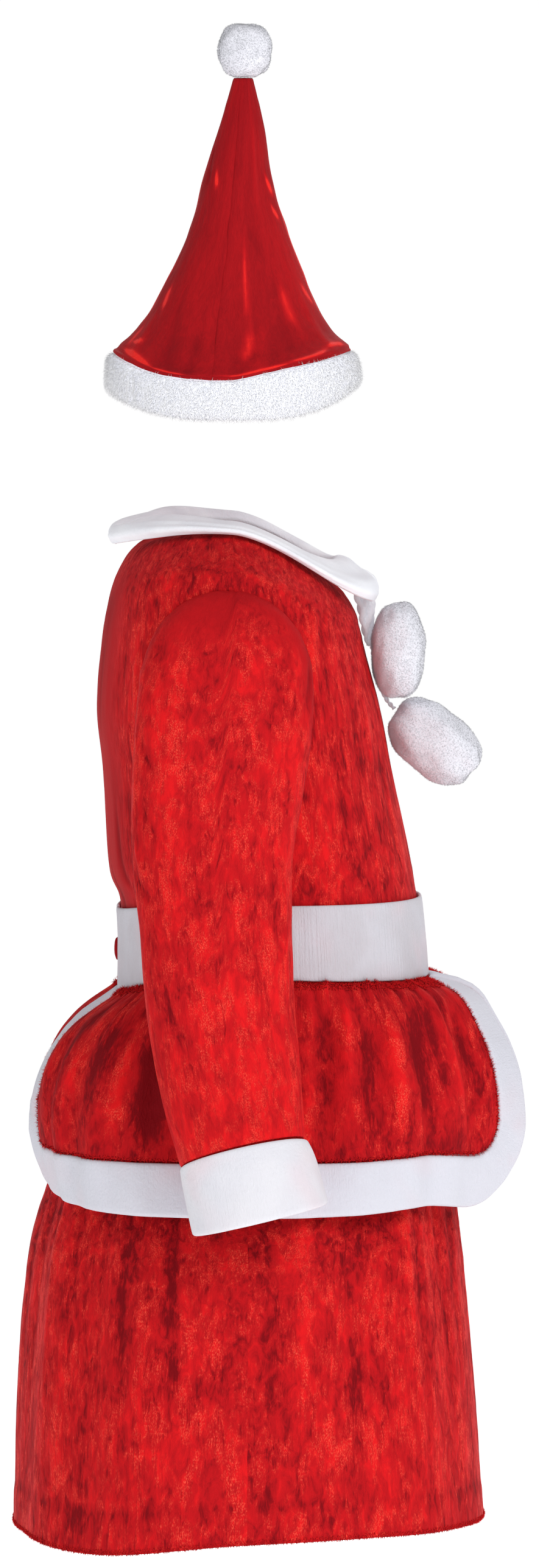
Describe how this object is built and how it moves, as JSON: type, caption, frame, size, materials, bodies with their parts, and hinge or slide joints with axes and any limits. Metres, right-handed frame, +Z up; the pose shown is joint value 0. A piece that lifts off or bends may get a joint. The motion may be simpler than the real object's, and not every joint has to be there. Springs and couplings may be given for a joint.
{
  "type": "baby christmas dress and hat costume set",
  "caption": "Worn-form baby costume: long-sleeved red velour dress with white fleece collar, belt, peplum trim and cuffs, throat pompons, and a matching pointed hat.",
  "frame": {"origin": "middle of the dress's neck opening, where the wearer's neck and shoulders carry it", "axes": "+X the way the wearer faces, +Y towards the wearer's left, +Z up; the hat sits above the dress as on the same wearer"},
  "size_m": [0.2529, 0.368, 0.7452],
  "materials": {
    "velour": "crushed red velour with bright streaks along the pile",
    "hat_velvet": "smooth dark red velvet with satin highlights",
    "fleece": "short matte white fleece",
    "fur": "white longer pile fur",
    "pompon": "dense fluffy white yarn",
    "cord": "twisted soft white cord"
  },
  "bodies": {
    "root": {"bodice_front": "velour", "bodice_back_right": "velour", "bodice_back_left": "velour", "skirt_front": "velour", "skirt_back": "velour", "sleeve_right": "velour", "sleeve_left": "velour", "peplum_right": "velour", "peplum_left": "velour", "back_tab": "velour", "belt": "fleece", "cuff_right": "fleece", "cuff_left": "fleece", "collar_right": "fleece", "collar_left": "fleece", "peplum_trim_right": "fleece", "peplum_trim_left": "fleece", "tie_knot": "cord", "pom_cord": "cord", "pom_upper": "pompon", "pom_lower": "pompon", "hat_pom": "pompon", "hat_front": "hat_velvet", "hat_back": "hat_velvet", "hat_band": "fur"}
  },
  "joints": []
}
